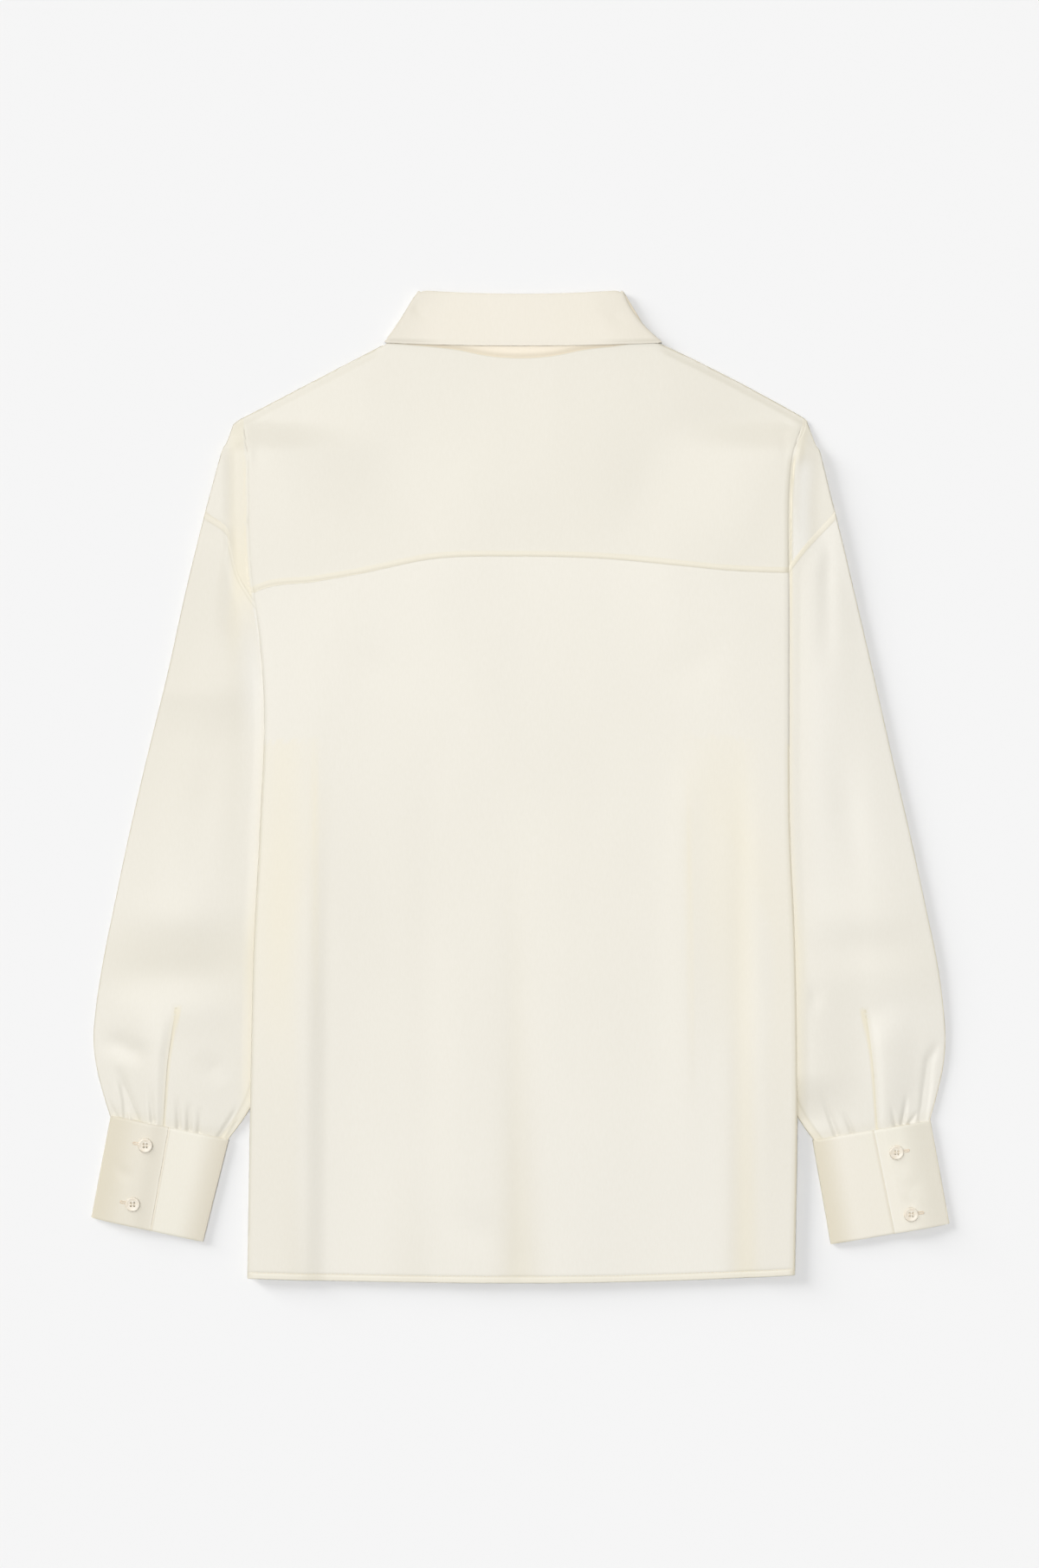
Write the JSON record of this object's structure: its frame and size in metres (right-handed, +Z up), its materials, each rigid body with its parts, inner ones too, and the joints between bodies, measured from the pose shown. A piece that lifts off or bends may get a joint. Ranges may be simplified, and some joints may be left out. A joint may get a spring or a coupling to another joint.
{
  "type": "blouse",
  "caption": "Woven long-sleeved blouse laid flat and back up, with a shirt collar, back yoke, dropped shoulders, gathered sleeves and buttoned cuffs.",
  "frame": {"origin": "on the surface that the blouse lies on, under the middle of its bounding box", "axes": "+X across the garment towards the wearer's right, +Y up towards the collar, +Z up off the surface. The back faces up."},
  "size_m": [0.6782, 0.7847, 0.0082],
  "materials": {
    "satin": "cream woven cloth with a soft lustre",
    "shell_button": "cream shell-like buttons"
  },
  "bodies": {
    "root": {"yoke": "satin", "back": "satin", "front_left": "satin", "front_right": "satin", "collar_stand": "satin", "collar_fall": "satin", "sleeve_left": "satin", "sleeve_right": "satin", "cuff_left": "satin", "cuff_right": "satin", "cuff_button_left_upper": "shell_button", "cuff_button_left_lower": "shell_button", "cuff_button_right_upper": "shell_button", "cuff_button_right_lower": "shell_button", "front_button_1": "shell_button", "front_button_2": "shell_button", "front_button_3": "shell_button", "front_button_4": "shell_button", "front_button_5": "shell_button", "front_button_6": "shell_button", "front_button_7": "shell_button"}
  },
  "joints": []
}
